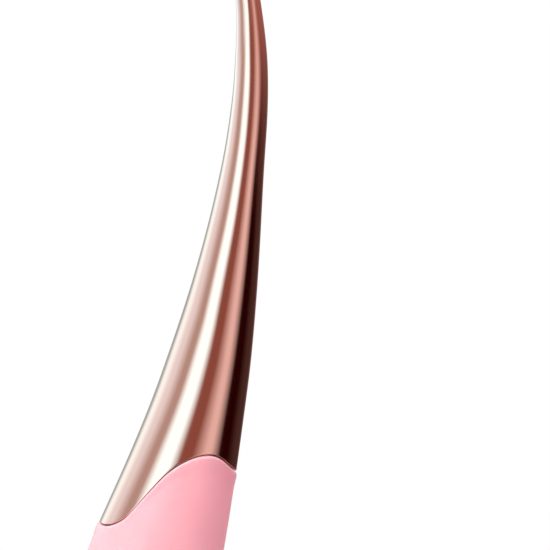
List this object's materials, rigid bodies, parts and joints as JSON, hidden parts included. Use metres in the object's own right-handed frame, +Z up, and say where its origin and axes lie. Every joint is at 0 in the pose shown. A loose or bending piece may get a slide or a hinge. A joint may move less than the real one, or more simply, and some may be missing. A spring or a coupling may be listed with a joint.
{
  "type": "electric face cleanser",
  "caption": "Hand-held electric face cleanser: slim bright-plated handle on a soft silicone head with a nub brush, push buttons and a vibration motor.",
  "frame": {"origin": "centre of the flat foot under the silicone head", "axes": "+Z up along the head towards the handle, -Y to the brush side that the handle leans towards, +Y to the buttons"},
  "size_m": [0.0326, 0.0377, 0.1929],
  "materials": {
    "rose_gold_plating": "mirror-bright rose gold plating on ABS",
    "silicone": "satin moulded silicone, pale pink",
    "brush_silicone": "satin silicone with soft nubs",
    "frame_plastic": "moulded off-white ABS",
    "dark_rubber": "black elastomer",
    "steel": "bright drawn steel",
    "weight_metal": "sintered heavy alloy",
    "contact_gold": "gold-plated brass",
    "cell_wrap": "plain blue heat-shrink over a metal can",
    "circuit_board": "green solder mask",
    "black_plastic": "moulded black plastic",
    "foam": "grey closed-cell foam",
    "red_insulation": "red lead insulation",
    "black_insulation": "black lead insulation",
    "clear_lens": "frosted clear light guide"
  },
  "bodies": {
    "casing": {"handle_shell": "rose_gold_plating", "silicone_sleeve": "silicone", "brush_pad": "brush_silicone", "frame_front": "frame_plastic", "frame_back": "frame_plastic", "neck_seal": "dark_rubber", "frame_screw_1": "steel", "frame_screw_2": "steel", "frame_screw_3": "steel", "frame_screw_4": "steel", "motor_can": "steel", "motor_end_bell": "black_plastic", "motor_grommet_1": "dark_rubber", "motor_grommet_2": "dark_rubber", "battery_cell": "cell_wrap", "battery_foam": "foam", "battery_lead_red": "red_insulation", "battery_lead_black": "black_insulation", "motor_lead_red": "red_insulation", "motor_lead_black": "black_insulation", "control_board": "circuit_board", "power_switch": "steel", "mode_switch": "steel", "controller_chip": "black_plastic", "indicator_led": "clear_lens", "indicator_window": "clear_lens", "charging_contact_1": "contact_gold", "charging_contact_2": "contact_gold", "power_button_gasket": "dark_rubber", "mode_button_gasket": "dark_rubber"},
    "power_button": {"power_button": "rose_gold_plating"},
    "mode_button": {"mode_button": "rose_gold_plating"},
    "rotor": {"motor_shaft": "steel", "eccentric_weight": "weight_metal"}
  },
  "joints": [
    {"name": "power_button_press", "type": "slide", "parent": "casing", "child": "power_button", "axis": [0, -1, 0], "range_m": [0, 0.0005], "stiffness_N_per_m": 900},
    {"name": "mode_button_press", "type": "slide", "parent": "casing", "child": "mode_button", "axis": [0, -1, 0], "range_m": [0, 0.0005], "stiffness_N_per_m": 900},
    {"name": "motor_spin", "type": "hinge", "parent": "casing", "child": "rotor", "pos_m": [0, 0, 0.0093], "axis": [0, 0, 1], "continuous": true}
  ]
}
